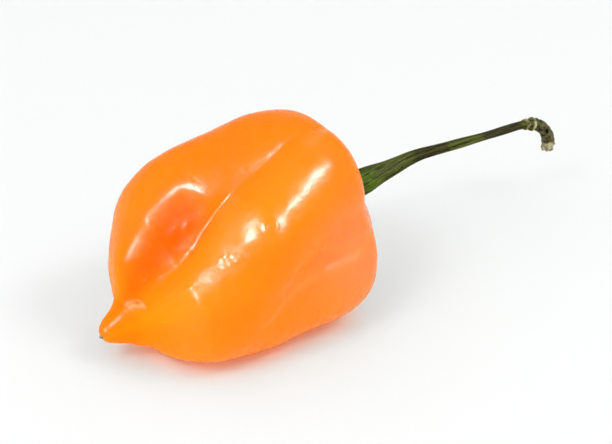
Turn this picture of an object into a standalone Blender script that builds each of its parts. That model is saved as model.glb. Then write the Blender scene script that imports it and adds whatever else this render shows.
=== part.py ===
"""Orange habanero chilli as picked, lying on its side: a solid pod, its calyx and its stem.

Sizes are in millimetres. Stations run along the pod from the blossom tip (0) to the stem,
angles go round it from the top (0) over the front (90) and the underside (180) to the back (270).
"""

import math

import bmesh
import bpy
import numpy as np

MM = 0.001

# How the pod lies
PITCH = 5.0
REST_DEPTH = 0.3
POD_MESH = {"rings": 58, "segments": 84}

# Smooth pod before its lobes: station, radius. The stem end is dished.
POD_PROFILE = (
    (0.0, 0.0), (0.35, 1.1), (1.7, 2.2), (3.6, 3.1), (5.6, 4.5), (6.8, 6.05), (8.1, 9.3), (12.5, 14.6),
    (19.4, 16.3), (28.3, 16.5), (37.9, 18.0), (43.5, 16.0), (46.1, 11.8), (47.5, 8.8), (47.1, 5.3),
    (46.7, 3.0), (46.6, 0.0),
)
# Where the middle of the section lies: station, towards the back, up. The nose hangs low.
CENTRE_LINE = ((5, 3.65, -9.6), (11, -1.1, -3.9), (24, -1.35, -1.2), (40, 1.35, -0.4))

# The four lobes: direction and size at the front, middle and back stations
LOBE_STATIONS = (10, 25, 42)
LOBES = {
    "top": {"angle": (-59, -33, -7), "size": (1.21, 1.165, 0.94)},
    "front": {"angle": (98, 57, 37), "size": (0.735, 1.0, 1.0)},
    "under": {"angle": (130, 148, 133), "size": (0.875, 1.09, 1.14)},
    "back": {"angle": (249, 221, 209), "size": (1.185, 1.10, 1.07)},
}
LOBE_OFFSET = 0.43
LOBE_BLEND = (4.9, 11.4, 22.9)
LOBE_START = (3.6, 7.3)
SKIN_RADIUS = 17.0

# Soft hollows (deep above 0) and swellings (deep below 0): station and angle, length and width
HOLLOWS = {
    "belly_front": {"at": (17.0, 101), "size": (5.0, 4.5), "turn": 0, "deep": 0.3, "crisp": 1.5},
    "belly_back": {"at": (28.5, 114), "size": (5.5, 4.5), "turn": 0, "deep": 0.5, "crisp": 1.5},
    "shoulder": {"at": (33.0, 92), "size": (3.0, 1.5), "turn": 15, "deep": 0.3, "crisp": 1.5},
    "rim_swell": {"at": (7.5, -15.5), "size": (4.0, 3.9), "turn": -9, "deep": -1.35, "crisp": 0.8},
    "valley_fill": {"at": (33.0, 14.0), "size": (6.0, 3.5), "turn": 0, "deep": -0.5, "crisp": 1.0},
}
HOLLOW_REACH = 10.0

# Folds between lobes: (station, angle) line, width, depth and the lengths over which both ends fade
FOLDS = {
    "top_to_front": {
        "line": ((4.5, 18), (6, 15), (8.2, 21), (10.5, 29), (13.6, 27), (15.6, 21.5), (19.5, 17), (24, 15),
                 (32, 17.5), (46, 17)),
        "width": 0.9, "deep": 0.5, "ends": (3.0, 6.0),
    },
    "front_to_under": {
        "line": ((27, 104), (30, 101), (34, 97), (38, 95), (47, 93)),
        "width": 1.6, "deep": 0.9, "ends": (7.0, 4.0),
    },
}

# Flat valley pressed into the top lobe, from a crest line down to the first fold
VALLEY = {
    "crest": ((6.0, -8), (7.4, -16), (8.3, -18.5), (9.8, -17.3), (11.3, -15.6), (13.5, -11.3), (16.0, -7.0),
              (17.7, -1.0), (19.3, 5.5), (21.0, 12.0), (23.0, 15.0)),
    "fold": "top_to_front",
    "azimuth": -50.0,
    "elevation": 25.0,
    "deep": ((5.5, 0.0), (9.0, 1.15), (12.0, 1.5), (15.5, 1.3), (19.0, 0.47), (23.0, 0.0)),
    "sag": ((5.5, 0.0), (9.0, 0.83), (12.0, 0.97), (15.5, 0.73), (19.0, -0.15), (23.0, 0.0)),
    "rim": 0.35,
    "wall": 1.8,
}

# Calyx seated in the dish of the stem end: place, (station, radius) profile and five shallow teeth
CALYX_AT = {"station": 46.9, "back": 1.2, "up": -1.0}
CALYX_GAP = 0.35
CALYX_PROFILE = (
    (0.0, 0.0), (0.05, 2.0), (0.2, 3.5), (0.7, 4.1), (1.4, 3.8), (2.3, 3.0), (3.0, 2.45), (3.4, 2.35),
    (3.8, 2.6), (4.3, 2.6), (4.7, 2.35), (4.85, 1.2), (4.85, 0.0),
)
CALYX_MESH = {"rings": 26, "segments": 50}
CALYX_TEETH = 5
CALYX_TOOTH_DEPTH = 0.08

# Stem, from the calyx to the torn end of its curl: along, up from the start, radius
STEM_GAP = 0.35
STEM_PATH = (
    (0.0, -0.95, 2.3), (1.9, -0.85, 2.2), (3.7, -0.6, 1.95), (6.5, -0.35, 1.6), (9.2, -0.1, 1.35),
    (12.0, 0.15, 1.15), (14.8, 0.1, 1.0), (17.6, -0.18, 0.93), (20.5, -0.45, 0.9), (23.4, -0.68, 0.88),
    (27.4, -0.95, 0.76), (31.3, -1.2, 0.72), (35.4, -1.4, 0.78), (37.9, -1.55, 0.76), (40.0, -1.85, 0.82),
    (41.9, -2.35, 1.08), (43.5, -3.0, 1.12), (44.9, -4.05, 1.14), (46.0, -5.4, 1.16), (46.6, -6.9, 1.18),
    (46.5, -8.9, 1.14),
)
STEM_POINTS = 54


def natural_curve(points, count):
    """Evenly spaced points along a natural cubic spline through the given points."""
    knots = np.array(points, float)
    size = len(knots)
    chord = np.linalg.norm(np.diff(knots, axis=0), axis=1) ** 0.7
    at = np.r_[0, np.cumsum(chord)]
    rows = np.eye(size)
    right = np.zeros_like(knots)
    for i in range(1, size - 1):
        rows[i, i - 1 : i + 2] = chord[i - 1], 2 * (chord[i - 1] + chord[i]), chord[i]
        right[i] = 6 * ((knots[i + 1] - knots[i]) / chord[i] - (knots[i] - knots[i - 1]) / chord[i - 1])
    bend = np.linalg.solve(rows, right)

    def read(t):
        i = np.clip(np.searchsorted(at, t, side="right") - 1, 0, size - 2)
        step = chord[i][:, None]
        done = (t - at[i])[:, None]
        left = step - done
        curved = (bend[i] * left**3 + bend[i + 1] * done**3) / (6 * step)
        start = (knots[i] / step - bend[i] * step / 6) * left
        end = (knots[i + 1] / step - bend[i + 1] * step / 6) * done
        return curved + start + end

    fine = np.linspace(0, at[-1], 3000)
    length = np.r_[0, np.cumsum(np.linalg.norm(np.diff(read(fine), axis=0), axis=1))]
    return read(np.interp(np.linspace(0, length[-1], count), length, fine))


def through(keys, x):
    """Smooth curve through (x, value) keys that never overshoots, level beyond both ends."""
    key_x, key_y = (np.array(column, float) for column in zip(*keys))
    slope = np.diff(key_y) / np.diff(key_x)
    tangent = np.zeros(len(key_x))
    same_way = slope[1:] * slope[:-1] > 0
    total = np.where(same_way, slope[1:] + slope[:-1], 1)
    tangent[1:-1] = np.where(same_way, 2 * slope[1:] * slope[:-1] / total, 0)
    x = np.clip(x, key_x[0], key_x[-1])
    i = np.clip(np.searchsorted(key_x, x, side="right") - 1, 0, len(key_x) - 2)
    step = key_x[i + 1] - key_x[i]
    t = (x - key_x[i]) / step
    start = key_y[i] * (1 + 2 * t) * (1 - t) ** 2 + tangent[i] * step * t * (1 - t) ** 2
    end = key_y[i + 1] * t * t * (3 - 2 * t) + tangent[i + 1] * step * t * t * (t - 1)
    return start + end


def smooth_step(x):
    x = np.clip(x, 0, 1)
    return x * x * (3 - 2 * x)


def turn_between(angle, other):
    return np.radians((angle - other + 180) % 360 - 180)


def along_lobe(values, station):
    """A lobe's value at every station, from its three values and level beyond them."""
    first, middle, last = LOBE_STATIONS
    keys = [(first - 14, values[0]), (first, values[0]), (middle, values[1])]
    keys += [(last, values[2]), (last + 12, values[2])]
    return through(keys, station)


def lobed(radius, station, angle):
    """Radius of the section once the four overlapping lobes are blended into it."""
    blend = along_lobe(LOBE_BLEND, station)
    total = np.zeros_like(radius)
    for lobe in LOBES.values():
        away = np.radians(angle - along_lobe(lobe["angle"], station))
        inside = np.maximum((1 - LOBE_OFFSET) ** 2 - (LOBE_OFFSET * np.sin(away)) ** 2, 1e-6)
        reach = along_lobe(lobe["size"], station) * (LOBE_OFFSET * np.cos(away) + np.sqrt(inside))
        total += np.exp(blend * (reach - 1))
    start, full = LOBE_START
    return radius * (1 + np.log(total) / blend * smooth_step((radius - start) / (full - start)))


def placed(station, radius, angle):
    """Points round the bent middle line of the pod, before it is laid down."""
    back = through([(key[0], key[1]) for key in CENTRE_LINE], station)
    up = through([(key[0], key[2]) for key in CENTRE_LINE], station)
    turn = np.radians(angle)
    return np.stack([station, back - radius * np.sin(turn), up + radius * np.cos(turn)], -1)


def skin_point(station, angle):
    """One point of the plain lobed skin."""
    rising = [key for key in POD_PROFILE if key[0] < 46]
    radius = np.interp(station, [key[0] for key in rising], [key[1] for key in rising])
    station, radius = np.array([station]), np.array([radius])
    return placed(station, lobed(radius, station, angle), angle)[0]


def pressed(points, at, size, turn, deep, crisp):
    """Press a spoon-shaped hollow into the skin, or swell it where deep is negative."""
    centre = skin_point(*at)
    along = skin_point(at[0] + 0.5, at[1]) - skin_point(at[0] - 0.5, at[1])
    along /= np.linalg.norm(along)
    across = skin_point(at[0], at[1] + 4) - skin_point(at[0], at[1] - 4)
    across -= along * across.dot(along)
    across /= np.linalg.norm(across)
    outward = np.cross(across, along)
    away = points - centre
    turn = math.radians(turn)
    u = away @ (along * math.cos(turn) + across * math.sin(turn)) / size[0]
    v = away @ (across * math.cos(turn) - along * math.sin(turn)) / size[1]
    near = smooth_step((away @ outward + HOLLOW_REACH) / 5)
    depth = deep * near * np.logaddexp(0, crisp * (1 - u * u - v * v)) / crisp
    return points - depth[:, None] * outward


def valley_cut(points, station, angle):
    """Lower the skin between the crest line and the fold, and the near side of the wall past it."""
    azimuth, elevation = math.radians(VALLEY["azimuth"]), math.radians(VALLEY["elevation"])
    outward = np.array([math.sin(azimuth), -math.cos(azimuth), math.tan(elevation)]) * math.cos(elevation)
    reach = np.hypot(points[:, 1], points[:, 2])
    crest, fold = through(VALLEY["crest"], station), through(FOLDS[VALLEY["fold"]]["line"], station)
    width = np.maximum(turn_between(fold, crest) * reach, 0.5)
    across = turn_between(angle, crest) * reach
    inside = np.clip(VALLEY["rim"] * np.logaddexp(0, across / VALLEY["rim"]) / width, 0, 1)
    past = np.maximum(across - width, 0) / VALLEY["wall"]
    depth = through(VALLEY["deep"], station) * inside / (1 + past**2)
    depth = depth + through(VALLEY["sag"], station) * 4 * inside * (1 - inside)
    return points - depth[:, None] * outward


def fold_depth(fold, station, angle, radius):
    across = turn_between(angle, through(fold["line"], station)) * radius
    first, last = fold["line"][0][0], fold["line"][-1][0]
    ends = smooth_step((station - first) / fold["ends"][0]) * smooth_step((last - station) / fold["ends"][1])
    return fold["deep"] * ends / (1 + (across / fold["width"]) ** 2)


def pod_point(share, angle):
    """Points of the pod at a share of its meridian (0 tip, 1 stem end) and an angle."""
    profile = natural_curve(POD_PROFILE, 400)
    shares = np.linspace(0, 1, len(profile))
    station = np.interp(share, shares, profile[:, 0])
    furthest = np.interp(share, shares, np.maximum.accumulate(profile[:, 0]))
    radius = lobed(np.interp(share, shares, np.maximum(profile[:, 1], 0)), furthest, angle)
    for fold in FOLDS.values():
        radius = radius - fold_depth(fold, furthest, angle, radius)
    points = placed(furthest, radius, angle)
    points[:, 0] = station
    points = valley_cut(points, furthest, angle)
    for hollow in HOLLOWS.values():
        points = pressed(points, **hollow)
    return points


def calyx_point(share, angle):
    """Points of the calyx, seated in the dish of the pod's stem end."""
    profile = natural_curve(CALYX_PROFILE, 400)
    shares = np.linspace(0, 1, len(profile))
    station = CALYX_AT["station"] + CALYX_GAP + np.interp(share, shares, profile[:, 0])
    radius = np.interp(share, shares, np.maximum(profile[:, 1], 0))
    flare = smooth_step((radius - 2.6) / 1.5)
    radius = radius * (1 + CALYX_TOOTH_DEPTH * flare * np.cos(np.radians(CALYX_TEETH * angle)))
    turn = np.radians(angle)
    back, up = CALYX_AT["back"] - radius * np.sin(turn), CALYX_AT["up"] + radius * np.cos(turn)
    return np.stack([station, back, up], -1)


def laid_down(points):
    """Turn points about the Y axis so that the pod lies with its tip low."""
    pitch = math.radians(PITCH)
    x = points[:, 0] * math.cos(pitch) - points[:, 2] * math.sin(pitch)
    z = points[:, 0] * math.sin(pitch) + points[:, 2] * math.cos(pitch)
    return np.stack([x, points[:, 1], z], -1)


def ringed_solid(name, size, place, material, collection):
    """UV sphere whose poles lie on the pod's axis, with every vertex moved to place(share, angle)."""
    mesh = bpy.data.meshes.new(name)
    ball = bmesh.new()
    bmesh.ops.create_uvsphere(ball, u_segments=size["segments"], v_segments=size["rings"], radius=1.0)
    ball.verts.ensure_lookup_table()
    co = np.array([v.co for v in ball.verts])
    share = np.arccos(np.clip(co[:, 2], -1, 1)) / math.pi
    angle = np.degrees(np.arctan2(co[:, 1], co[:, 0]))
    for vert, point in zip(ball.verts, laid_down(place(share, angle))):
        vert.co = point * MM
    bmesh.ops.recalc_face_normals(ball, faces=ball.faces)
    ball.to_mesh(mesh)
    ball.free()
    mesh.shade_smooth()
    mesh.materials.append(material)
    solid = bpy.data.objects.new(name, mesh)
    collection.objects.link(solid)
    return solid


def rest_on_floor(pod):
    """Height that the pod is lifted by. Its underside is pressed to a small flat where it rests."""
    lowest = min(v.co.z for v in pod.data.vertices)
    lift = -lowest - REST_DEPTH * MM
    for vert in pod.data.vertices:
        vert.co.z = max(vert.co.z + lift, 0.0)
    return lift


def stem_tube(start, material, collection):
    """Tapered stem with its curled end, as a curve with one radius per point."""
    path = natural_curve(STEM_PATH, STEM_POINTS)
    curve = bpy.data.curves.new("stem", "CURVE")
    curve.dimensions = "3D"
    curve.bevel_depth = MM
    curve.bevel_resolution = 3
    curve.use_fill_caps = True
    spline = curve.splines.new("POLY")
    spline.points.add(len(path) - 1)
    for point, (along, up, radius) in zip(spline.points, path):
        point.co = (along * MM, 0.0, up * MM, 1.0)
        point.radius = radius
    curve.materials.append(material)
    stem = bpy.data.objects.new("stem", curve)
    stem.location = start
    collection.objects.link(stem)
    return stem


def skin_material(name, colour, roughness):
    material = bpy.data.materials.new(name)
    material.use_nodes = True
    shader = material.node_tree.nodes["Principled BSDF"]
    shader.inputs["Base Color"].default_value = (*colour, 1.0)
    shader.inputs["Roughness"].default_value = roughness
    shader.inputs["Metallic"].default_value = 0.0
    return material


def centre_on_origin(holder, pieces):
    """Move the holder so that the middle of the bottom of the whole chilli is the origin."""
    bpy.context.view_layer.update()
    corners = np.array([piece.matrix_world @ corner for piece in pieces for corner in bounds(piece)])
    middle = (corners.min(0) + corners.max(0)) / 2
    holder.location = (-middle[0], -middle[1], 0.0)


def bounds(piece):
    evaluated = piece.evaluated_get(bpy.context.evaluated_depsgraph_get())
    mesh = evaluated.to_mesh()
    points = [vert.co.copy() for vert in mesh.vertices]
    evaluated.to_mesh_clear()
    return points


def build():
    for old in list(bpy.data.objects):
        bpy.data.objects.remove(old)
    collection = bpy.data.collections.new("chilli_pepper")
    bpy.context.scene.collection.children.link(collection)
    holder = bpy.data.objects.new("chilli_pepper_at", None)
    collection.objects.link(holder)

    orange = skin_material("pod_skin", (0.95, 0.23, 0.01), 0.25)
    bright_green = skin_material("calyx_skin", (0.16, 0.28, 0.04), 0.55)
    dark_green = skin_material("stem_bark", (0.07, 0.10, 0.03), 0.7)

    pod = ringed_solid("pod", POD_MESH, pod_point, orange, collection)
    lift = rest_on_floor(pod)
    calyx = ringed_solid("calyx", CALYX_MESH, calyx_point, bright_green, collection)
    for vert in calyx.data.vertices:
        vert.co.z += lift

    furthest = max(calyx.data.vertices, key=lambda vert: vert.co.x).co.x
    seat = laid_down(calyx_point(np.array([1.0]), np.array([0.0])))[0] * MM
    stem = stem_tube((furthest + STEM_GAP * MM, seat[1], seat[2] + lift), dark_green, collection)

    pieces = [pod, calyx, stem]
    for piece in pieces:
        piece.parent = holder
    centre_on_origin(holder, pieces)


build()
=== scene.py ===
import math

import bmesh
import bpy
import numpy as np
from mathutils import Matrix, Vector


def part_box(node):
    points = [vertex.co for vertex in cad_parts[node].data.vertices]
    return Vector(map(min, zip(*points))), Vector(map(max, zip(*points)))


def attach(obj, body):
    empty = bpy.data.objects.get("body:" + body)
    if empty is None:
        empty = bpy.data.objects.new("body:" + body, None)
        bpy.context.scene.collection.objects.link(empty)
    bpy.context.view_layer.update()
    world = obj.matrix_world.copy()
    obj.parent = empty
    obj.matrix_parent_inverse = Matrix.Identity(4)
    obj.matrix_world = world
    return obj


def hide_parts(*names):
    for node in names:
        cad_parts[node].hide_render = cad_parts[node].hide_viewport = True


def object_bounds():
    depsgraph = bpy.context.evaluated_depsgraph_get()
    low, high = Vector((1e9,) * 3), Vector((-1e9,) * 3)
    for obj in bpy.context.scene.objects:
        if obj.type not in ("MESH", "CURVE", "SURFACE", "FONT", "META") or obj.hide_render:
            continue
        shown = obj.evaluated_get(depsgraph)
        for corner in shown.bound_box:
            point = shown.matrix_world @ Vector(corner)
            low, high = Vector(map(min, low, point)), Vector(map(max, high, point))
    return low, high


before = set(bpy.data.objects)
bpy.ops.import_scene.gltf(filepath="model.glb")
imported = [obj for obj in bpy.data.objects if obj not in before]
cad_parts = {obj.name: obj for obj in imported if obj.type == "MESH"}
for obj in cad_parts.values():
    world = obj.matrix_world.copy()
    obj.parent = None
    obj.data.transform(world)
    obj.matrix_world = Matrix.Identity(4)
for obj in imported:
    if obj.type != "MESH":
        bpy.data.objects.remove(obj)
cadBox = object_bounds()
mm = 0.001
print("frame loaded")


# short ways to write node trees
def fill(tree, socket, value):
    if isinstance(value, bpy.types.NodeSocket):
        tree.links.new(value, socket)
    else:
        socket.default_value = value


def addNode(tree, kind, settings=None, sockets=None):
    node = tree.nodes.new(kind)
    for name, value in (settings or {}).items():
        setattr(node, name, value)
    for name, value in (sockets or {}).items():
        fill(tree, node.inputs[name], value)
    return node


def calc(tree, operation, *values):
    node = addNode(tree, "ShaderNodeMath", {"operation": operation})
    for socket, value in zip(node.inputs, values):
        fill(tree, socket, value)
    return node.outputs[0]


def times(tree, first, *others):
    for value in others:
        first = calc(tree, "MULTIPLY", first, value)
    return first


def plus(tree, first, *others):
    for value in others:
        first = calc(tree, "ADD", first, value)
    return first


def smoothRange(tree, value, low, high, start=0.0, end=1.0):
    node = addNode(tree, "ShaderNodeMapRange", {"interpolation_type": "SMOOTHSTEP"})
    for i, item in enumerate((value, low, high, start, end)):
        fill(tree, node.inputs[i], item)
    return node.outputs[0]


def between(tree, value, rise, top, fall, end):
    # 1 from top to fall, fading to 0 at rise and at end
    return times(tree, smoothRange(tree, value, rise, top), smoothRange(tree, value, fall, end, 1.0, 0.0))


def alongNormal(tree, height):
    normal = addNode(tree, "GeometryNodeInputNormal").outputs["Normal"]
    node = addNode(tree, "ShaderNodeVectorMath", {"operation": "SCALE"}, {0: normal, "Scale": height})
    return node.outputs[0]


def readField(tree, name, kind="FLOAT"):
    node = addNode(tree, "GeometryNodeInputNamedAttribute", {"data_type": kind}, {"Name": name})
    return node.outputs["Attribute"]


def keepField(tree, geometry, name, value, kind="FLOAT"):
    node = addNode(tree, "GeometryNodeStoreNamedAttribute", {"data_type": kind, "domain": "POINT"})
    fill(tree, node.inputs["Geometry"], geometry)
    node.inputs["Name"].default_value = name
    fill(tree, node.inputs["Value"], value)
    return node.outputs["Geometry"]


def noiseField(tree, scale, detail=2.0, roughness=0.5, vector=None, seed=0.0):
    node = addNode(tree, "ShaderNodeTexNoise", {"noise_dimensions": "4D"})
    fill(tree, node.inputs["Scale"], scale)
    fill(tree, node.inputs["W"], seed)
    node.inputs["Detail"].default_value = detail
    node.inputs["Roughness"].default_value = roughness
    if vector is not None:
        fill(tree, node.inputs["Vector"], vector)
    return calc(tree, "SUBTRACT", node.outputs["Fac"], 0.5)


def newTree(name, inputs):
    tree = bpy.data.node_groups.new(name, "GeometryNodeTree")
    tree.interface.new_socket("Geometry", in_out="INPUT", socket_type="NodeSocketGeometry")
    tree.interface.new_socket("Geometry", in_out="OUTPUT", socket_type="NodeSocketGeometry")
    for label, kind in inputs:
        tree.interface.new_socket(label, in_out="INPUT", socket_type="NodeSocket" + kind)
    return tree, addNode(tree, "NodeGroupInput"), addNode(tree, "NodeGroupOutput")


def endTree(tree, geometry, material, out):
    smooth = addNode(tree, "GeometryNodeSetShadeSmooth", None, {"Geometry": geometry})
    real = addNode(tree, "GeometryNodeRealizeInstances", None, {"Geometry": smooth.outputs[0]})
    coat = addNode(tree, "GeometryNodeSetMaterial", None, {"Geometry": real.outputs[0], "Material": material})
    fill(tree, out.inputs["Geometry"], coat.outputs[0])


def grow(source, tree, values, name):
    # runs the tree on the source and keeps the result as a plain mesh object
    modifier = source.modifiers.new(tree.name, "NODES")
    modifier.node_group = tree
    for item in tree.interface.items_tree:
        if item.in_out == "INPUT" and item.name in values:
            modifier[item.identifier] = values[item.name]
    bpy.context.view_layer.update()
    evaluated = source.evaluated_get(bpy.context.evaluated_depsgraph_get())
    mesh = bpy.data.meshes.new_from_object(evaluated)
    mesh.name = name
    piece = bpy.data.objects.new(name, mesh)
    bpy.context.scene.collection.objects.link(piece)
    source.modifiers.remove(modifier)
    bpy.data.objects.remove(source)
    return piece


def naturalCurve(points, count):
    # evenly spaced points along a natural cubic spline, its knots spaced by a power of their distance
    knots = np.array(points, float)
    size = len(knots)
    chord = np.linalg.norm(np.diff(knots, axis=0), axis=1) ** 0.7
    at = np.r_[0, np.cumsum(chord)]
    rows = np.eye(size)
    right = np.zeros_like(knots)
    for i in range(1, size - 1):
        rows[i, i - 1:i + 2] = chord[i - 1], 2 * (chord[i - 1] + chord[i]), chord[i]
        right[i] = 6 * ((knots[i + 1] - knots[i]) / chord[i] - (knots[i] - knots[i - 1]) / chord[i - 1])
    bend = np.linalg.solve(rows, right)

    def read(t):
        i = np.clip(np.searchsorted(at, t, side="right") - 1, 0, size - 2)
        step = chord[i][:, None]
        done = (t - at[i])[:, None]
        left = step - done
        curved = (bend[i] * left**3 + bend[i + 1] * done**3) / (6 * step)
        start = (knots[i] / step - bend[i] * step / 6) * left
        end = (knots[i + 1] / step - bend[i + 1] * step / 6) * done
        return curved + start + end

    fine = np.linspace(0, at[-1], 4000)
    length = np.r_[0, np.cumsum(np.linalg.norm(np.diff(read(fine), axis=0), axis=1))]
    return read(np.interp(np.linspace(0, length[-1], count), length, fine))


def through(keys, x):
    # smooth curve through (x, value) keys that never overshoots, level beyond both ends
    keyX, keyY = (np.array(column, float) for column in zip(*keys))
    slope = np.diff(keyY) / np.diff(keyX)
    tangent = np.zeros(len(keyX))
    sameWay = slope[1:] * slope[:-1] > 0
    total = np.where(sameWay, slope[1:] + slope[:-1], 1)
    tangent[1:-1] = np.where(sameWay, 2 * slope[1:] * slope[:-1] / total, 0)
    x = np.clip(x, keyX[0], keyX[-1])
    i = np.clip(np.searchsorted(keyX, x, side="right") - 1, 0, len(keyX) - 2)
    step = keyX[i + 1] - keyX[i]
    t = (x - keyX[i]) / step
    start = keyY[i] * (1 + 2 * t) * (1 - t) ** 2 + tangent[i] * step * t * (1 - t) ** 2
    end = keyY[i + 1] * t * t * (3 - 2 * t) + tangent[i + 1] * step * t * t * (t - 1)
    return start + end


def smoothStep(x):
    x = np.clip(x, 0, 1)
    return x * x * (3 - 2 * x)


def turnBetween(angle, other):
    return np.radians((angle - other + 180) % 360 - 180)


# the pod: stations run in mm from the blossom tip to the stem, angles go round from the top over the
# front, and heights in its relief are in metres
pod = {
    "rings": 300,
    "segments": 316,
    "pitch": 5.0,
    "restDepth": 0.3,
    "profile": [
        (0.0, 0.0), (0.35, 1.1), (1.7, 2.2), (3.6, 3.1), (5.6, 4.5), (6.8, 6.05), (8.1, 9.3), (12.5, 14.6),
        (19.4, 16.3), (28.3, 16.5), (37.9, 18.0), (43.5, 16.0), (46.1, 11.8), (47.5, 8.8), (47.1, 5.3),
        (46.7, 3.0), (46.6, 0.0),
    ],
    "centreLine": [(5, 3.65, -9.6), (11, -1.1, -3.9), (24, -1.35, -1.2), (40, 1.35, -0.4)],
    "lobeStations": (10, 25, 42),
    "lobeOffset": 0.43,
    "lobeBlend": (4.9, 11.4, 22.9),
    "lobeStart": (3.6, 7.3),
    "skinRadius": 17.0,
    "relief": {
        "Ripple Height": 0.0006, "Ripple Scale": 130.0, "Crinkle Height": 0.00011, "Crinkle Scale": 700.0,
        "Pit Density": 5200.0, "Pit Radius": 0.00045, "Pit Depth": 0.00007, "Seed": 4,
    },
}

# each lobe's angle and share of the radius at the three lobe stations
lobes = {
    "top": {"angle": (-59, -33, -7), "size": (1.21, 1.165, 0.94)},
    "front": {"angle": (98, 57, 37), "size": (0.735, 1.0, 1.0)},
    "under": {"angle": (130, 148, 133), "size": (0.875, 1.09, 1.14)},
    "back": {"angle": (249, 221, 209), "size": (1.185, 1.10, 1.07)},
}

# soft hollows (deep above 0) and swellings (deep below 0): station, angle, length, width, turn
hollows = {
    "bellyFront": {"at": (17.0, 101), "size": (5.0, 4.5), "turn": 0, "deep": 0.3, "crisp": 1.5},
    "bellyBack": {"at": (28.5, 114), "size": (5.5, 4.5), "turn": 0, "deep": 0.5, "crisp": 1.5},
    "shoulder": {"at": (33.0, 92), "size": (3.0, 1.5), "turn": 15, "deep": 0.3, "crisp": 1.5},
    "rimSwell": {"at": (7.5, -15.5), "size": (4.0, 3.9), "turn": -9, "deep": -1.35, "crisp": 0.8},
    "valleyFill": {"at": (33.0, 14.0), "size": (6.0, 3.5), "turn": 0, "deep": -0.5, "crisp": 1.0},
}

# the valley in the top lobe, from its crest line to the first fold, and the direction it faces; sizes in mm
valley = {
    "crest": [(6.0, -8), (7.4, -16), (8.3, -18.5), (9.8, -17.3), (11.3, -15.6), (13.5, -11.3), (16.0, -7.0),
              (17.7, -1.0), (19.3, 5.5), (21.0, 12.0), (23.0, 15.0)],
    "fold": "topToFront",
    "azimuth": -50.0,
    "elevation": 25.0,
    "deep": [(5.5, 0.0), (9.0, 1.15), (12.0, 1.5), (15.5, 1.3), (19.0, 0.47), (23.0, 0.0)],
    "sag": [(5.5, 0.0), (9.0, 0.83), (12.0, 0.97), (15.5, 0.73), (19.0, -0.15), (23.0, 0.0)],
    "rim": 0.35,
    "wall": 1.8,
}

# folds: (station, angle) line, width, depth and the lengths over which both ends fade
folds = {
    "topToFront": {
        "line": [(4.5, 18), (6, 15), (8.2, 21), (10.5, 29), (13.6, 27), (15.6, 21.5), (19.5, 17), (24, 15),
                 (32, 17.5), (46, 17)],
        "width": 0.9, "deep": 0.5, "ends": (3.0, 6.0),
    },
    "frontToUnder": {
        "line": [(27, 104), (30, 101), (34, 97), (38, 95), (47, 93)],
        "width": 1.6, "deep": 0.9, "ends": (7.0, 4.0),
    },
}


def alongLobe(values, station):
    first, middle, last = pod["lobeStations"]
    keys = [(first - 14, values[0]), (first, values[0]), (middle, values[1]), (last, values[2]),
            (last + 12, values[2])]
    return through(keys, station)


def lobedRadius(radius, station, angle):
    blend = alongLobe(pod["lobeBlend"], station)
    offset = pod["lobeOffset"]
    total = np.zeros_like(radius)
    for lobe in lobes.values():
        away = np.radians(angle - alongLobe(lobe["angle"], station))
        inside = np.maximum((1 - offset) ** 2 - (offset * np.sin(away)) ** 2, 1e-6)
        reach = alongLobe(lobe["size"], station) * (offset * np.cos(away) + np.sqrt(inside))
        total += np.exp(blend * (reach - 1))
    start, full = pod["lobeStart"]
    return radius * (1 + np.log(total) / blend * smoothStep((radius - start) / (full - start)))


def patch(station, angle, at, size, turn=0, edge=2.0):
    # 1 in the middle of an oval patch of skin, fading to 0 past its rim
    turn = math.radians(turn)
    along = station - at[0]
    across = turnBetween(angle, at[1]) * pod["skinRadius"]
    u = (along * math.cos(turn) + across * math.sin(turn)) / size[0]
    v = (across * math.cos(turn) - along * math.sin(turn)) / size[1]
    return np.exp(-(u * u + v * v) ** (edge / 2))


def skinPoint(station, angle):
    # one point of the plain lobed skin
    rising = [key for key in pod["profile"] if key[0] < 46]
    radius = np.interp(station, [key[0] for key in rising], [key[1] for key in rising])
    return placed(np.array([station]), lobedRadius(np.array([radius]), np.array([station]), angle), angle)[0]


def pressed(points, at, size, turn, deep, crisp, reach=10.0, fade=5.0):
    # presses a spoon-shaped hollow into the skin (swells it where deep is negative)
    centre = skinPoint(*at)
    along = skinPoint(at[0] + 0.5, at[1]) - skinPoint(at[0] - 0.5, at[1])
    along /= np.linalg.norm(along)
    across = skinPoint(at[0], at[1] + 4) - skinPoint(at[0], at[1] - 4)
    across -= along * across.dot(along)
    across /= np.linalg.norm(across)
    outward = np.cross(across, along)
    away = points - centre
    turn = math.radians(turn)
    u = away @ (along * math.cos(turn) + across * math.sin(turn)) / size[0]
    v = away @ (across * math.cos(turn) - along * math.sin(turn)) / size[1]
    near = smoothStep((away @ outward + reach) / fade)
    depth = deep * near * np.logaddexp(0, crisp * (1 - u * u - v * v)) / crisp
    return points - depth[:, None] * outward


def valleyCut(points, station, angle):
    # lowers the skin between the crest line and the fold, and the near side of the wall past the fold
    a, e = math.radians(valley["azimuth"]), math.radians(valley["elevation"])
    outward = np.array([math.sin(a) * math.cos(e), -math.cos(a) * math.cos(e), math.sin(e)])
    reach = np.hypot(points[:, 1], points[:, 2])
    crest, fold = through(valley["crest"], station), through(folds[valley["fold"]]["line"], station)
    width = np.maximum(turnBetween(fold, crest) * reach, 0.5)
    across = turnBetween(angle, crest) * reach
    inside = np.clip(valley["rim"] * np.logaddexp(0, across / valley["rim"]) / width, 0, 1)
    past = np.maximum(across - width, 0) / valley["wall"]
    depth = through(valley["deep"], station) * inside / (1 + past**2)
    depth = depth + through(valley["sag"], station) * 4 * inside * (1 - inside)
    return points - depth[:, None] * outward


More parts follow.
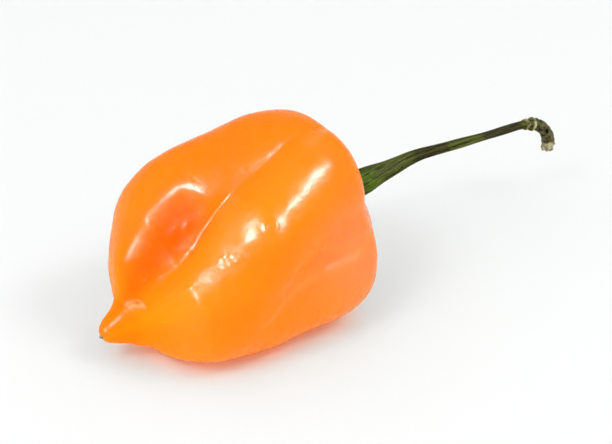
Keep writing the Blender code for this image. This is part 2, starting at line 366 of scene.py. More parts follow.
def foldDepth(fold, station, angle, radius):
    across = turnBetween(angle, through(fold["line"], station)) * radius
    first, last = fold["line"][0][0], fold["line"][-1][0]
    ends = smoothStep((station - first) / fold["ends"][0]) * smoothStep((last - station) / fold["ends"][1])
    return fold["deep"] * ends / (1 + (across / fold["width"]) ** 2)


def placed(station, radius, angle):
    # a point round the bent middle line, with the pod not yet laid down
    back = through([(key[0], key[1]) for key in pod["centreLine"]], station)
    up = through([(key[0], key[2]) for key in pod["centreLine"]], station)
    turn = np.radians(angle)
    return np.stack([station, back - radius * np.sin(turn), up + radius * np.cos(turn)], -1)


def podPoints(share, angle):
    # share runs along the meridian, 0 at the blossom tip and 1 in the middle of the stem end
    profile = naturalCurve(pod["profile"], 400)
    rings = np.linspace(0, 1, len(profile))
    station = np.interp(share, rings, profile[:, 0])
    furthest = np.interp(share, rings, np.maximum.accumulate(profile[:, 0]))
    radius = lobedRadius(np.interp(share, rings, np.maximum(profile[:, 1], 0)), furthest, angle)
    for fold in folds.values():
        radius = radius - foldDepth(fold, furthest, angle, radius)
    points = placed(furthest, radius, angle)
    points[:, 0] = station
    points = valleyCut(points, furthest, angle)
    for hollow in hollows.values():
        points = pressed(points, **hollow)
    return laidDown(points), furthest


def laidDown(points):
    # tips the lying pod up by its pitch
    pitch = math.radians(pod["pitch"])
    x = points[:, 0] * math.cos(pitch) - points[:, 2] * math.sin(pitch)
    z = points[:, 0] * math.sin(pitch) + points[:, 2] * math.cos(pitch)
    return np.stack([x, points[:, 1], z], -1)


def ringedMesh(name, rings, segments):
    # closed skin of rings between two poles: its faces, and each vertex's share and angle
    share = [0.0]
    angle = [0.0]
    for ring in range(1, rings):
        share += [ring / rings] * segments
        angle += [360.0 * i / segments for i in range(segments)]
    share.append(1.0)
    angle.append(0.0)
    last = len(share) - 1

    def at(ring, i):
        return 1 + (ring - 1) * segments + i % segments

    faces = [(0, at(1, i + 1), at(1, i)) for i in range(segments)]
    for ring in range(1, rings - 1):
        faces += [(at(ring, i), at(ring, i + 1), at(ring + 1, i + 1), at(ring + 1, i))
                  for i in range(segments)]
    faces += [(last, at(rings - 1, i), at(rings - 1, i + 1)) for i in range(segments)]
    return faces, np.array(share), np.array(angle)


def skinObject(name, points, faces, fields):
    mesh = bpy.data.meshes.new(name)
    mesh.from_pydata(points.tolist(), [], faces)
    for label, values in fields.items():
        mesh.attributes.new(label, "FLOAT", "POINT").data.foreach_set("value", values.astype(np.float32))
    shell = bmesh.new()
    shell.from_mesh(mesh)
    bmesh.ops.recalc_face_normals(shell, faces=shell.faces)
    shell.to_mesh(mesh)
    shell.free()
    skin = bpy.data.objects.new(name, mesh)
    bpy.context.scene.collection.objects.link(skin)
    return skin


# where the skin is crinkled or dull, and where its colour leaves the plain orange for painted light, shade
# and sheen; half sizes in mm
skinMarks = {
    "crinkle": [{"at": (16.0, 54), "size": (3.2, 1.4), "turn": 15, "edge": 3.0}],
    # painted light: a paler, yellower orange where the light falls on the front lobe's upper flank and its
    # end by the nose
    "litFlank": [
        {"at": (9.0, 66), "size": (7.0, 6.0), "turn": 0, "edge": 2.0},
        {"at": (26.0, 42), "size": (12.0, 5.0), "turn": 0, "edge": 2.0},
    ],
    # painted shade: a darker, redder orange over the hollow in the top lobe, where shade falls
    "hollowShade": [{"at": (11.8, 6.0), "size": (6.6, 5.6), "turn": 20, "edge": 3.0}],
    "dull": [
        {"at": (4.5, 10.0), "size": (4.2, 60.0), "turn": 0, "edge": 4.0},
        {"at": (6.5, 24.0), "size": (2.2, 5.0), "turn": 0, "edge": 4.0},
        {"at": (10.0, 14.0), "size": (2.8, 8.0), "turn": 0, "edge": 3.0},
    ],
    # painted reflection: a pale salmon sheen on the right lobe for the white surroundings it reflects
    "paleSheen": [{"at": (40.0, 97), "size": (10.0, 9.0), "turn": 0, "edge": 2.0}],
}

# painted sheen: soft pale bands along the low lobes and over the end of the first fold, where a highlight
# runs along the crests
skinLines = {
    "sheenBand": [
        {"keys": [(20.2, 110), (23.5, 105), (28.3, 101), (33.4, 101), (38.9, 97.5), (43.5, 95)],
         "width": 0.8, "share": 0.5},
        {"keys": [(24.6, 92), (26.0, 83), (30.8, 82), (37.8, 92)], "width": 0.6, "share": 0.35},
        {"keys": [(38.0, 26), (42.5, 19), (44.5, 14)], "width": 0.9, "share": 0.7},
    ],
}

# small swellings of the skin and one ringed scar: station and angle, radius and height in mm
skinSpots = [
    {"at": (8.4, 50), "radius": 0.9, "high": 0.16},
    {"at": (10.2, 56), "radius": 1.0, "high": 0.16},
    {"at": (7.9, 77), "radius": 0.8, "high": 0.14},
    {"at": (11.0, -34), "radius": 0.9, "high": 0.14},
    {"at": (12.2, 6), "radius": 1.1, "high": 0.2},
    {"at": (13.8, 11), "radius": 0.9, "high": 0.2},
    {"at": (27.5, 46), "radius": 1.4, "high": 0.1},
    {"at": (19.5, 51), "radius": 1.2, "high": 0.12},
    {"at": (40.0, 30), "radius": 0.8, "high": 0.1},
]
skinRing = {"at": (23.7, 50), "radius": 0.9, "edge": 0.35, "high": 0.14}


def spotHeight(station, angle):
    # how far the swellings and the ring rise, in mm
    high = np.zeros_like(station)
    for spot in skinSpots:
        size = (spot["radius"], spot["radius"])
        high += spot["high"] * patch(station, angle, spot["at"], size)
    across = turnBetween(angle, skinRing["at"][1]) * pod["skinRadius"]
    far = np.hypot(station - skinRing["at"][0], across)
    return high + skinRing["high"] * np.exp(-((far - skinRing["radius"]) / skinRing["edge"]) ** 2)


def skinLine(station, angle, keys, width, share):
    # a soft line of skin through the keys, fading past both ends
    across = turnBetween(angle, through(keys, station)) * pod["skinRadius"] / width
    ends = smoothStep((station - keys[0][0]) / 3 + 1) * smoothStep((keys[-1][0] - station) / 3 + 1)
    return share * ends * np.exp(-across**2)


def makePod():
    faces, share, angle = ringedMesh("pod", pod["rings"], pod["segments"])
    points, station = podPoints(share, angle)
    points[:, 2] -= points[:, 2].min() + pod["restDepth"]
    points[:, 2] = np.maximum(points[:, 2], 0)
    low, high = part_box("pod")
    points *= mm
    middle = (points.min(0) + points.max(0)) / 2
    points[:, :2] += np.array([(low.x + high.x) / 2 - middle[0], (low.y + high.y) / 2 - middle[1]])
    fields = {}
    for label, marks in skinMarks.items():
        fields[label] = np.clip(sum(patch(station, angle, **mark) for mark in marks), 0, 1)
    for label, lines in skinLines.items():
        fields[label] = np.clip(sum(skinLine(station, angle, **line) for line in lines), 0, 1)
    fields["spots"] = spotHeight(station, angle) * mm
    return skinObject("podBlank", points, faces, fields)


def skinReliefTree():
    # slow ripples, crinkled lines where marked, a scatter of shallow pits and the marked spots
    inputs = [
        ("Ripple Height", "Float"), ("Ripple Scale", "Float"), ("Crinkle Height", "Float"),
        ("Crinkle Scale", "Float"), ("Pit Density", "Float"), ("Pit Radius", "Float"), ("Pit Depth", "Float"),
        ("Seed", "Int"), ("Material", "Material"),
    ]
    tree, start, out = newTree("skinRelief", inputs)
    given = start.outputs
    seed = times(tree, given["Seed"], 1.7)
    ripple = noiseField(tree, given["Ripple Scale"], 2.0, 0.45, None, seed)
    ripple = times(tree, ripple, given["Ripple Height"])

    warp = addNode(tree, "ShaderNodeTexNoise", None, {"Scale": times(tree, given["Crinkle Scale"], 0.6)})
    position = addNode(tree, "GeometryNodeInputPosition").outputs[0]
    shift = addNode(tree, "ShaderNodeVectorMath", {"operation": "SCALE"}, {
        0: warp.outputs["Color"], "Scale": 0.0022})
    warped = addNode(tree, "ShaderNodeVectorMath", {"operation": "ADD"}, {0: position, 1: shift.outputs[0]})
    cells = addNode(tree, "ShaderNodeTexVoronoi", {"feature": "DISTANCE_TO_EDGE"}, {
        "Vector": warped.outputs[0], "Scale": given["Crinkle Scale"]})
    line = smoothRange(tree, cells.outputs["Distance"], 0.0, 0.16, 1.0, 0.0)
    crinkle = times(tree, line, readField(tree, "crinkle"), given["Crinkle Height"])

    scatter = addNode(tree, "GeometryNodeDistributePointsOnFaces", {"distribute_method": "RANDOM"}, {
        "Mesh": given["Geometry"], "Density": given["Pit Density"], "Seed": given["Seed"]})
    near = addNode(tree, "GeometryNodeProximity", {"target_element": "POINTS"}, {
        "Geometry": scatter.outputs["Points"]})
    pit = smoothRange(tree, near.outputs["Distance"], 0.0, given["Pit Radius"], 1.0, 0.0)
    pit = times(tree, pit, given["Pit Depth"])

    height = calc(tree, "SUBTRACT", plus(tree, ripple, crinkle), pit)
    height = plus(tree, height, readField(tree, "spots"))
    moved = addNode(tree, "GeometryNodeSetPosition", None, {
        "Geometry": given["Geometry"], "Offset": alongNormal(tree, height)})
    endTree(tree, moved.outputs[0], given["Material"], out)
    return tree


def shaderGroup(name, inputs, outputs):
    group = bpy.data.node_groups.new(name, "ShaderNodeTree")
    for label, value in inputs:
        group.interface.new_socket(label, in_out="INPUT", socket_type="NodeSocketFloat").default_value = value
    for label in outputs:
        group.interface.new_socket(label, in_out="OUTPUT", socket_type="NodeSocketFloat")
    return group, addNode(group, "NodeGroupInput"), addNode(group, "NodeGroupOutput")


def mottleGroup():
    # soft uneven colour of living skin, 0 to 1
    inputs = [("Scale", 100.0), ("Detail", 3.0), ("Contrast", 1.5)]
    group, start, out = shaderGroup("mottle", inputs, ["Value"])
    given = start.outputs
    place = addNode(group, "ShaderNodeTexCoord").outputs["Object"]
    noise = addNode(group, "ShaderNodeTexNoise", None, {
        "Vector": place, "Scale": given["Scale"], "Detail": given["Detail"]})
    spread = times(group, calc(group, "SUBTRACT", noise.outputs["Fac"], 0.5), given["Contrast"])
    value = plus(group, spread, 0.5)
    value.node.use_clamp = True
    fill(group, out.inputs["Value"], value)
    return group


def grainGroup():
    # fine height of the surface for a bump
    inputs = [("Scale", 2000.0), ("Coarse Scale", 400.0), ("Coarse Share", 0.5)]
    group, start, out = shaderGroup("grain", inputs, ["Height"])
    given = start.outputs
    place = addNode(group, "ShaderNodeTexCoord").outputs["Object"]
    fine = addNode(group, "ShaderNodeTexNoise", None, {
        "Vector": place, "Scale": given["Scale"], "Detail": 2.0})
    coarse = addNode(group, "ShaderNodeTexNoise", None, {
        "Vector": place, "Scale": given["Coarse Scale"], "Detail": 3.0})
    fineShare = calc(group, "SUBTRACT", 1.0, given["Coarse Share"])
    total = plus(group, times(group, fine.outputs["Fac"], fineShare),
                 times(group, coarse.outputs["Fac"], given["Coarse Share"]))
    fill(group, out.inputs["Height"], total)
    return group


shared = {"mottle": mottleGroup(), "grain": grainGroup()}


def useGroup(tree, name, sockets):
    node = addNode(tree, "ShaderNodeGroup", {"node_tree": shared[name]})
    for label, value in sockets.items():
        node.inputs[label].default_value = value
    return node.outputs[0]


def blend(tree, share, first, second):
    node = addNode(tree, "ShaderNodeMix", {"data_type": "RGBA"})
    for i, value in ((0, share), (6, first), (7, second)):
        fill(tree, node.inputs[i], (*value, 1) if isinstance(value, tuple) else value)
    return node.outputs[2]


def markField(tree, name):
    return addNode(tree, "ShaderNodeAttribute", {"attribute_name": name}).outputs["Fac"]


def newMaterial(name, sockets):
    material = bpy.data.materials.new(name)
    material.use_nodes = True
    tree = material.node_tree
    shader = tree.nodes["Principled BSDF"]
    for label, value in sockets.items():
        shader.inputs[label].default_value = value
    return material, tree, shader


def addBump(tree, shader, height, strength, distance):
    bump = addNode(tree, "ShaderNodeBump", None, {
        "Strength": strength, "Distance": distance, "Height": height})
    fill(tree, shader.inputs["Normal"], bump.outputs["Normal"])


# colours and surface of the pod's skin; the glow reaches from its first to its second length, in metres
podFinish = {
    "orange": [(1.0, 0.205, 0.002), (1.0, 0.245, 0.003)],
    # painted light on the lit flank of the front lobe
    "litFlank": (1.0, 0.275, 0.001),
    # painted shade in the hollow
    "hollowShade": (1.0, 0.125, 0.0006),
    # painted reflection on the right lobe
    "paleSheen": (1.0, 0.25, 0.07),
    # painted sheen of the bands
    "sheenBand": (1.0, 0.29, 0.055),
    "roughness": (0.23, 0.35),
    "shine": 0.07,
    "dullShine": 0.006,
    "bounced": (0.5, 0.4, 0.34),
    "glow": (1.0, 0.24, 0.0, 1.0),
    "glowStrength": 0.3,
    "glowReach": (0.0005, 0.005),
}


def podSkinMaterial():
    material, tree, shader = newMaterial("podSkinOrange", {
        "Subsurface Weight": 0.25, "Subsurface Radius": (1.0, 0.28, 0.03), "Subsurface Scale": 0.003,
        "Coat Weight": 0.02, "Coat Roughness": 0.2, "IOR": 1.45, "Emission Color": podFinish["glow"],
    })
    mottle = useGroup(tree, "mottle", {"Scale": 90.0, "Detail": 4.0, "Contrast": 1.6})
    colour = blend(tree, mottle, *podFinish["orange"])
    # painted light, shade and sheen laid over the orange: the lit flank, the shade in the hollow, the sheen
    # on the right lobe and the sheen bands
    for mark in ("litFlank", "hollowShade", "paleSheen", "sheenBand"):
        colour = blend(tree, markField(tree, mark), colour, podFinish[mark])
    # not physical: bounced light that has come a short way sees the skin glow and the rest sees it dull,
    # so that the skin tints the floor only close by
    path = addNode(tree, "ShaderNodeLightPath").outputs
    away = smoothRange(tree, path["Ray Length"], *podFinish["glowReach"])
    near = calc(tree, "SUBTRACT", 1.0, away)
    colour = blend(tree, times(tree, away, path["Is Diffuse Ray"]), colour, podFinish["bounced"])
    glow = times(tree, near, path["Is Diffuse Ray"], podFinish["glowStrength"])
    fill(tree, shader.inputs["Emission Strength"], glow)
    fill(tree, shader.inputs["Base Color"], colour)
    shine = smoothRange(tree, markField(tree, "dull"), 0.0, 1.0, podFinish["shine"], podFinish["dullShine"])
    fill(tree, shader.inputs["Specular IOR Level"], shine)
    grain = useGroup(tree, "grain", {"Scale": 2500.0, "Coarse Scale": 500.0, "Coarse Share": 0.7})
    fill(tree, shader.inputs["Roughness"], smoothRange(tree, grain, 0.3, 0.7, *podFinish["roughness"]))
    addBump(tree, shader, grain, 0.4, 0.0002)
    return material


# colours and surface of the stem; the pairs are mixed by its strands or by the mottling
stemFinish = {
    "strand": [(0.006, 0.007, 0.001), (0.125, 0.145, 0.022)],
    "rib": (0.19, 0.21, 0.04),
    "fresh": [(0.014, 0.028, 0.001), (0.13, 0.21, 0.012)],
    # brown patches on the stem, and the painted shade in the calyx groove
    "brownAndGrooveShade": [(0.004, 0.003, 0.001), (0.06, 0.05, 0.018)],
    "bark": [(0.004, 0.003, 0.001), (0.16, 0.145, 0.06)],
    "scar": [(0.10, 0.08, 0.02), (0.62, 0.58, 0.36)],
    "rim": [(0.34, 0.42, 0.08), (0.12, 0.16, 0.04)],
    "ribShare": 0.3,
    "brownShare": 0.85,
    "roughness": (0.5, 0.75),
}


def stemMaterial():
    # green, with darker and paler fibres, brown patches, painted shade in the calyx groove, grey-brown bark
    # and cream scars where marked
    material, tree, shader = newMaterial("stemGreen", {"Specular IOR Level": 0.02})
    mottle = useGroup(tree, "mottle", {"Scale": 1100.0, "Detail": 4.0, "Contrast": 3.2})
    fibre = addNode(tree, "ShaderNodeAttribute", {"attribute_name": "fibre"}).outputs["Vector"]
    strand = addNode(tree, "ShaderNodeTexNoise", None, {
        "Vector": fibre, "Scale": 9.0, "Detail": 5.0, "Roughness": 0.85})
    strand = smoothRange(tree, strand.outputs["Fac"], 0.45, 0.58)
    colour = blend(tree, strand, *stemFinish["strand"])
    ribbed = times(tree, markField(tree, "rib"), stemFinish["ribShare"])
    colour = blend(tree, ribbed, colour, stemFinish["rib"])
    colour = blend(tree, markField(tree, "fresh"), colour, blend(tree, strand, *stemFinish["fresh"]))
    # brown patches, and on the calyx a painted shade in the groove below its lip
    browned = times(tree, markField(tree, "brownAndGrooveShade"), stemFinish["brownShare"])
    colour = blend(tree, browned, colour, blend(tree, strand, *stemFinish["brownAndGrooveShade"]))
    for mark in ("bark", "scar"):
        colour = blend(tree, markField(tree, mark), colour, blend(tree, mottle, *stemFinish[mark]))
    rim = blend(tree, markField(tree, "scar"), *stemFinish["rim"])
    colour = blend(tree, markField(tree, "rim"), colour, rim)
    fill(tree, shader.inputs["Base Color"], colour)
    grain = useGroup(tree, "grain", {"Scale": 4000.0, "Coarse Scale": 1500.0, "Coarse Share": 0.6})
    fill(tree, shader.inputs["Roughness"], smoothRange(tree, grain, 0.3, 0.7, *stemFinish["roughness"]))
    addBump(tree, shader, grain, 0.6, 0.0002)
    return material


# the dried rest of the flower at the blossom tip, in mm
crumb = {
    "offset": (0.2, -0.1, -0.2),
    "size": (0.35, 0.4, 0.3),
    "seed": 3,
    "waves": 5,
    "waveHeight": 0.09,
    "colours": [(0.03, 0.012, 0.004), (0.16, 0.06, 0.02)],
}


def crumbMaterial():
    material, tree, shader = newMaterial("styleCrumb", {"Roughness": 0.8})
    mottle = useGroup(tree, "mottle", {"Scale": 2500.0, "Detail": 3.0, "Contrast": 2.0})
    fill(tree, shader.inputs["Base Color"], blend(tree, mottle, *crumb["colours"]))
    return material


def makeCrumb(tip):
    lump = bmesh.new()
    bmesh.ops.create_icosphere(lump, subdivisions=3, radius=1.0)
    waves = np.random.default_rng(crumb["seed"]).normal(size=(crumb["waves"], 3))
    centre = tip + Vector(crumb["offset"]) * mm
    for vert in lump.verts:
        bump = sum(math.sin(3 * float(vert.co.dot(Vector(wave)))) for wave in waves) * crumb["waveHeight"]
        place = vert.co * (1 + bump)
        vert.co = Vector([a * b * mm for a, b in zip(place, crumb["size"])]) + centre
    mesh = bpy.data.meshes.new("styleCrumb")
    lump.to_mesh(mesh)
    lump.free()
    mesh.shade_smooth()
    mesh.materials.append(crumbMaterial())
    piece = bpy.data.objects.new("styleCrumb", mesh)
    bpy.context.scene.collection.objects.link(piece)
    return piece


# the calyx: stations run in mm away from the pod; heights in its relief are in metres
calyx = {
    "rings": 110,
    "segments": 150,
    "profile": [
        (0.0, 0.0), (0.05, 2.0), (0.2, 3.5), (0.7, 4.1), (1.4, 3.8), (2.3, 3.0), (3.0, 2.45), (3.4, 2.35),
        (3.8, 2.6), (4.3, 2.6), (4.7, 2.35), (4.85, 1.2), (4.85, 0.0),
    ],
    "teeth": 5,
    "toothDepth": 0.08,
    "ribs": 10,
    "ribDepth": 0.03,
    "groove": 3.2,
    "lip": 4.1,
    "relief": {
        "Ripple Height": 0.0003, "Ripple Scale": 700.0, "Crinkle Height": 0.0, "Crinkle Scale": 600.0,
        "Pit Density": 0.0, "Pit Radius": 0.0001, "Pit Depth": 0.0, "Seed": 2,
    },
}


def makeCalyx():
    faces, share, angle = ringedMesh("calyx", calyx["rings"], calyx["segments"])
    profile = naturalCurve(calyx["profile"], 400)
    shares = np.linspace(0, 1, len(profile))
    station = np.interp(share, shares, profile[:, 0])
    radius = np.interp(share, shares, np.maximum(profile[:, 1], 0))
    turn = np.radians(angle)
    flare = smoothStep((radius - 2.6) / 1.5)
    outside = smoothStep((station - 0.3) / 0.8) * smoothStep((4.8 - station) / 0.4)
    ribs = np.cos(calyx["ribs"] * turn + station * 0.2)
    radius = radius * (1 + calyx["toothDepth"] * flare * np.cos(calyx["teeth"] * turn))
    radius = radius * (1 + calyx["ribDepth"] * outside * ribs)
    points = laidDown(np.stack([station, -radius * np.sin(turn), radius * np.cos(turn)], -1)) * mm
    low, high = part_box("calyx")
    target = np.array([low.x, (low.y + high.y) / 2, (low.z + high.z) / 2])
    middle = (points.min(0) + points.max(0)) / 2
    points += target - np.array([points[:, 0].min(), middle[1], middle[2]])
    fields = {
        "rib": 0.5 + 0.5 * ribs,
        "fresh": 1 - smoothStep((station - 4.4) / 1.2),
        "bark": np.zeros_like(share),
        # painted shade: a dark brown band in the groove below the lip, where shade falls
        "brownAndGrooveShade": np.exp(-((station - calyx["groove"]) / 0.28) ** 2) * outside,
        "rim": np.exp(-((station - calyx["lip"]) / 0.3) ** 2) + smoothStep((radius - 3.9) / 0.4) * 0.6,
        "scar": np.zeros_like(share),
        "crinkle": np.zeros_like(share),
    }
    piece = skinObject("calyxBlank", points, faces, fields)
    fibre = np.stack([np.cos(turn), np.sin(turn), -station * mm * 25], -1).astype(np.float32)
    piece.data.attributes.new("fibre", "FLOAT_VECTOR", "POINT").data.foreach_set("vector", fibre.ravel())
    return piece


# the stem: its path is (along, up, radius) in mm; starts, ends and bands are shares of its length, and
# heights in its relief are in metres, but for the rib depth, a share of the radius
stem = {
    "path": [
        (-0.45, -0.97, 2.25), (0.4, -0.94, 2.28), (1.9, -0.85, 2.2), (3.7, -0.6, 1.95), (6.5, -0.35, 1.6),
        (9.2, -0.1, 1.35), (12.0, 0.15, 1.15), (14.8, 0.1, 1.0), (17.6, -0.18, 0.93), (20.5, -0.45, 0.9),
        (23.4, -0.68, 0.88), (27.4, -0.95, 0.76), (31.3, -1.2, 0.72), (35.4, -1.4, 0.78), (37.9, -1.55, 0.76),
        (40.0, -1.85, 0.82), (41.9, -2.35, 1.08), (43.5, -3.0, 1.12), (44.9, -4.05, 1.14), (46.0, -5.4, 1.16),
        (46.6, -6.9, 1.18), (46.5, -8.9, 1.14),
    ],
    "points": 560,
    "endRings": 16,
    "endDome": 0.35,
    "brownBands": [(0.2, 0.27, 0.38, 0.43), (0.55, 0.6, 0.73, 0.79)],
    "relief": {
        "Around": 96, "Rib Count": 5.0, "Rib Depth": 0.14, "Twist": 0.35,
        "Bark Start": 0.828, "Bark Height": 0.0007,
        "Scar Start": 0.775, "Scar End": 0.835, "Scar Rings": 2.0, "Scar Height": 0.0003,
        "Torn Start": 0.955, "Torn Height": 0.0008,
    },
}


def makeStemPath():
    path = naturalCurve(stem["path"], stem["points"]).tolist()
    ahead = np.array(path[-1][:2]) - np.array(path[-2][:2])
    ahead /= np.linalg.norm(ahead)
    along, up, radius = path[-1]
    for i in range(1, stem["endRings"] + 1):
        quarter = i / stem["endRings"] * math.pi / 2
        step = stem["endDome"] * math.sin(quarter)
        thin = max(radius * math.cos(quarter), 0.02)
        path.append((along + ahead[0] * step, up + ahead[1] * step, thin))
    low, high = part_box("stem")
    rise = max(up + radius for along, up, radius in stem["path"])
    origin = Vector((low.x, (low.y + high.y) / 2, high.z - rise * mm))
    curve = bpy.data.curves.new("stemPath", "CURVE")
    curve.dimensions = "3D"
    spline = curve.splines.new("POLY")
    spline.points.add(len(path) - 1)
    for point, (along, up, radius) in zip(spline.points, path):
        point.co = (*(origin + Vector((along * mm, 0.0, up * mm))), 1.0)
        point.radius = radius * mm
    holder = bpy.data.objects.new("stemPath", curve)
    bpy.context.scene.collection.objects.link(holder)
    return holder


def ribbedStemTree():
    inputs = [
        ("Around", "Int"), ("Rib Count", "Float"), ("Rib Depth", "Float"), ("Twist", "Float"),
        ("Bark Start", "Float"), ("Bark Height", "Float"), ("Scar Start", "Float"), ("Scar End", "Float"),
        ("Scar Rings", "Float"), ("Scar Height", "Float"), ("Torn Start", "Float"), ("Torn Height", "Float"),
        ("Material", "Material"),
    ]
    tree, start, out = newTree("ribbedStem", inputs)
    given = start.outputs
    along = addNode(tree, "GeometryNodeSplineParameter").outputs["Factor"]
    path = keepField(tree, given["Geometry"], "along", along)
    circle = addNode(tree, "GeometryNodeCurvePrimitiveCircle", None, {
        "Resolution": given["Around"], "Radius": 1.0})
    around = addNode(tree, "GeometryNodeSplineParameter").outputs["Factor"]
    ring = keepField(tree, circle.outputs["Curve"], "around", around)
    radius = addNode(tree, "GeometryNodeInputRadius").outputs[0]
    path = keepField(tree, path, "thick", radius)
    tube = addNode(tree, "GeometryNodeCurveToMesh", None, {
        "Curve": path, "Profile Curve": ring, "Scale": radius, "Fill Caps": True})
    along = readField(tree, "along")
    thick = readField(tree, "thick")

    # sharp ribs with hollow flutes between, and fine fibres that run along them
    turn = plus(tree, readField(tree, "around"), times(tree, along, given["Twist"]))
    turn = times(tree, turn, 2 * math.pi)
    fibre = addNode(tree, "ShaderNodeCombineXYZ", None, {
        "X": calc(tree, "COSINE", turn), "Y": calc(tree, "SINE", turn), "Z": times(tree, along, 1.3)})
    fibre = fibre.outputs[0]
    wander = times(tree, noiseField(tree, 1.6, 2.0, 0.5, fibre), 2.4)
    wave = calc(tree, "COSINE", plus(tree, times(tree, turn, given["Rib Count"]), wander))
    rib = calc(tree, "POWER", calc(tree, "MULTIPLY_ADD", wave, 0.5, 0.5), 1.8)
    strand = noiseField(tree, 5.0, 3.0, 0.6, fibre, 3.0)
    bark = smoothRange(tree, along, given["Bark Start"], plus(tree, given["Bark Start"], 0.02))
    ribShare = calc(tree, "SUBTRACT", 1.0, times(tree, bark, 0.8))
    ribHeight = plus(tree, calc(tree, "SUBTRACT", rib, 0.4), times(tree, strand, 0.9))
    ribHeight = times(tree, ribHeight, given["Rib Depth"], times(tree, thick, ribShare))

    # rough bark towards the end
    rough = plus(tree, noiseField(tree, 900.0, 3.0, 0.6), times(tree, noiseField(tree, 2600.0, 2.0), 0.5))
    barkHeight = times(tree, rough, bark, given["Bark Height"])

    # raised uneven scar rings
    length = calc(tree, "SUBTRACT", given["Scar End"], given["Scar Start"])
    span = calc(tree, "DIVIDE", calc(tree, "SUBTRACT", along, given["Scar Start"]), length)
    turns = plus(tree, span, times(tree, noiseField(tree, 500.0), 0.5))
    turns = calc(tree, "SUBTRACT", times(tree, turns, given["Scar Rings"]), 0.5)
    ridge = smoothRange(tree, calc(tree, "COSINE", times(tree, turns, 2 * math.pi)), 0.2, 0.95)
    scar = times(tree, ridge, between(tree, span, 0.0, 0.1, 0.9, 1.0))
    scarHeight = times(tree, scar, plus(tree, noiseField(tree, 1500.0), 0.8), given["Scar Height"])

    # the torn end, with a darker core
    tornEdge = plus(tree, along, times(tree, noiseField(tree, 900.0, 2.0), 0.035))
    torn = smoothRange(tree, tornEdge, given["Torn Start"], plus(tree, given["Torn Start"], 0.012))
    tornHeight = times(tree, noiseField(tree, 1800.0, 3.0, 0.7), torn, given["Torn Height"])
    core = times(tree, smoothRange(tree, thick, 0.0002, 0.0006, 1.0, 0.0), torn)

    height = plus(tree, ribHeight, barkHeight, plus(tree, scarHeight, tornHeight))
    moved = addNode(tree, "GeometryNodeSetPosition", None, {
        "Geometry": tube.outputs[0], "Offset": alongNormal(tree, height)})

    # the marks that the material reads
    mesh = keepField(tree, moved.outputs[0], "rib", times(tree, plus(tree, rib, strand), ribShare))
    mesh = keepField(tree, mesh, "fibre", fibre, "FLOAT_VECTOR")
    fresh = plus(tree, along, times(tree, noiseField(tree, 1.4, 2.0, 0.5, fibre, 5.0), 0.12))
    mesh = keepField(tree, mesh, "fresh", smoothRange(tree, fresh, 0.02, 0.10, 1.0, 0.0))
    patches = plus(tree, noiseField(tree, 1.1, 2.0, 0.5, fibre, 8.0),
                   times(tree, noiseField(tree, 5.0, 2.0, 0.5, fibre), 0.5))
    bands = plus(tree, *(between(tree, along, *edges) for edges in stem["brownBands"]))
    brownAndGrooveShade = smoothRange(tree, plus(tree, patches, times(tree, bands, 0.3)), 0.02, 0.2)
    mesh = keepField(tree, mesh, "brownAndGrooveShade", brownAndGrooveShade)
    mesh = keepField(tree, mesh, "bark", bark)
    mesh = keepField(tree, mesh, "rim", core)
    mesh = keepField(tree, mesh, "scar", calc(tree, "MAXIMUM", scar, torn))
    endTree(tree, mesh, given["Material"], out)
    return tree


light = {
    "floorHalf": 2.0,
    "floorColour": (0.855, 0.87, 0.865),
    "sky": {"zenith": 0.84, "horizon": 0.78, "rimGloss": 0.55, "inGloss": 0.2},
    "boxes": [
        {"azimuth": 30.5, "elevation": 50, "size": (0.62, 0.27), "soft": 3.2, "sheen": 130.0},
        {"azimuth": -75.5, "elevation": 48, "size": (0.49, 0.34), "soft": 3.0, "sheen": 165.0},
        {"azimuth": -93, "elevation": 17, "size": (0.34, 0.39), "soft": 0.55, "sheen": 85.0},
        {"azimuth": 150, "elevation": 74, "size": (1.1, 1.1), "soft": 1.4, "sheen": 0.0},
    ],
    "boxDistance": 1.4,
}

view = {
    "azimuth": -37.56,
    "elevation": 30.0,
    "aim": (-0.0136, -0.00448, 0.01792),
    "distance": 0.2833,
    "lens": 100.0,
}


def turned(azimuth, elevation, aim, distance):
    # places a thing at a distance from the aim and turns it to look there
    a, e = math.radians(azimuth), math.radians(elevation)
    back = Vector((math.sin(a) * math.cos(e), -math.cos(a) * math.cos(e), math.sin(e)))
    right = Vector((math.cos(a), math.sin(a), 0.0))
    facing = Matrix((right, back.cross(right), back)).transposed().to_4x4()
    return Matrix.Translation(Vector(aim) + back * distance) @ facing


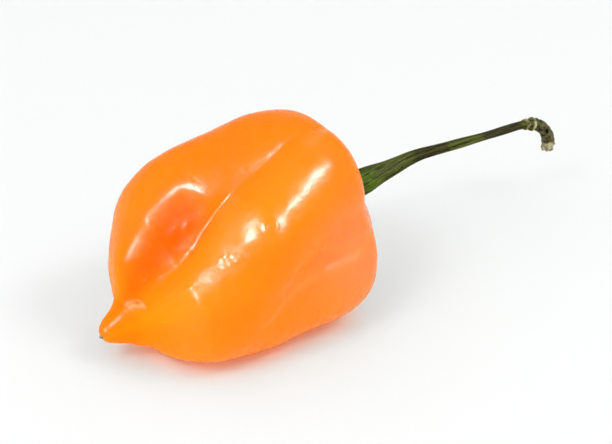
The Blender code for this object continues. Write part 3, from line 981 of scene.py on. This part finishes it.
def makeStage():
    bpy.ops.mesh.primitive_plane_add(size=2 * light["floorHalf"])
    floor = bpy.context.object
    floor.name = "floor"
    material, tree, shader = newMaterial("paleFloor", {
        "Base Color": (*light["floorColour"], 1), "Roughness": 0.6, "Specular IOR Level": 0.2})
    floor.data.materials.append(material)

    world = bpy.data.worlds.new("studio")
    bpy.context.scene.world = world
    world.use_nodes = True
    tree = world.node_tree
    sky = light["sky"]
    direction = addNode(tree, "ShaderNodeTexCoord").outputs["Generated"]
    up = addNode(tree, "ShaderNodeSeparateXYZ", None, {0: direction}).outputs["Z"]
    level = smoothRange(tree, up, 0.1, 0.6, sky["horizon"], sky["zenith"])
    inGloss = smoothRange(tree, up, 0.05, 0.35, sky["rimGloss"], sky["inGloss"])
    glossy = addNode(tree, "ShaderNodeLightPath").outputs["Is Glossy Ray"]
    apart = calc(tree, "MULTIPLY", calc(tree, "SUBTRACT", inGloss, level), glossy)
    fill(tree, tree.nodes["Background"].inputs["Strength"], calc(tree, "ADD", level, apart))
    tree.nodes["Background"].inputs["Color"].default_value = (1, 1, 1, 1)

    # not physical: each soft box is one lamp that only lights and one that only shines on glossy things
    middle = (cadBox[0] + cadBox[1]) / 2
    for i, box in enumerate(light["boxes"]):
        for part in ("soft", "sheen"):
            if not box[part]:
                continue
            lamp = bpy.data.lights.new(f"{part}Box{i}", "AREA")
            lamp.shape = "RECTANGLE"
            lamp.size, lamp.size_y = box["size"]
            lamp.energy = box[part]
            holder = bpy.data.objects.new(lamp.name, lamp)
            holder.matrix_world = turned(box["azimuth"], box["elevation"], middle, light["boxDistance"])
            holder.visible_glossy = part == "sheen"
            holder.visible_diffuse = part == "soft"
            bpy.context.scene.collection.objects.link(holder)

    camera = bpy.data.cameras.new("camera")
    camera.lens = view["lens"]
    camera.sensor_width = 36.0
    camera.clip_start = 0.01
    holder = bpy.data.objects.new("camera", camera)
    holder.matrix_world = turned(view["azimuth"], view["elevation"], view["aim"], view["distance"])
    bpy.context.scene.collection.objects.link(holder)
    bpy.context.scene.camera = holder
    bpy.context.scene.view_settings.view_transform = "Standard"


def finishPiece(piece, node=None):
    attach(piece, "root")
    if node:
        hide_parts(node)


relief = skinReliefTree()
greenMaterial = stemMaterial()

podBlank = makePod()
tip = Vector(min((vert.co.copy() for vert in podBlank.data.vertices), key=lambda co: co.x))
podSkin = grow(podBlank, relief, {**pod["relief"], "Material": podSkinMaterial()}, "podSkin")
finishPiece(podSkin, "pod")
print("pod grown:", len(podSkin.data.polygons), "faces")

calyxCup = grow(makeCalyx(), relief, {**calyx["relief"], "Material": greenMaterial}, "calyxCup")
finishPiece(calyxCup, "calyx")
print("calyx grown:", len(calyxCup.data.polygons), "faces")

stemBark = grow(makeStemPath(), ribbedStemTree(), {**stem["relief"], "Material": greenMaterial}, "stemBark")
finishPiece(stemBark, "stem")
print("stem grown:", len(stemBark.data.polygons), "faces")

finishPiece(makeCrumb(tip))
print("crumb set at the blossom tip")

makeStage()
print("stage set")
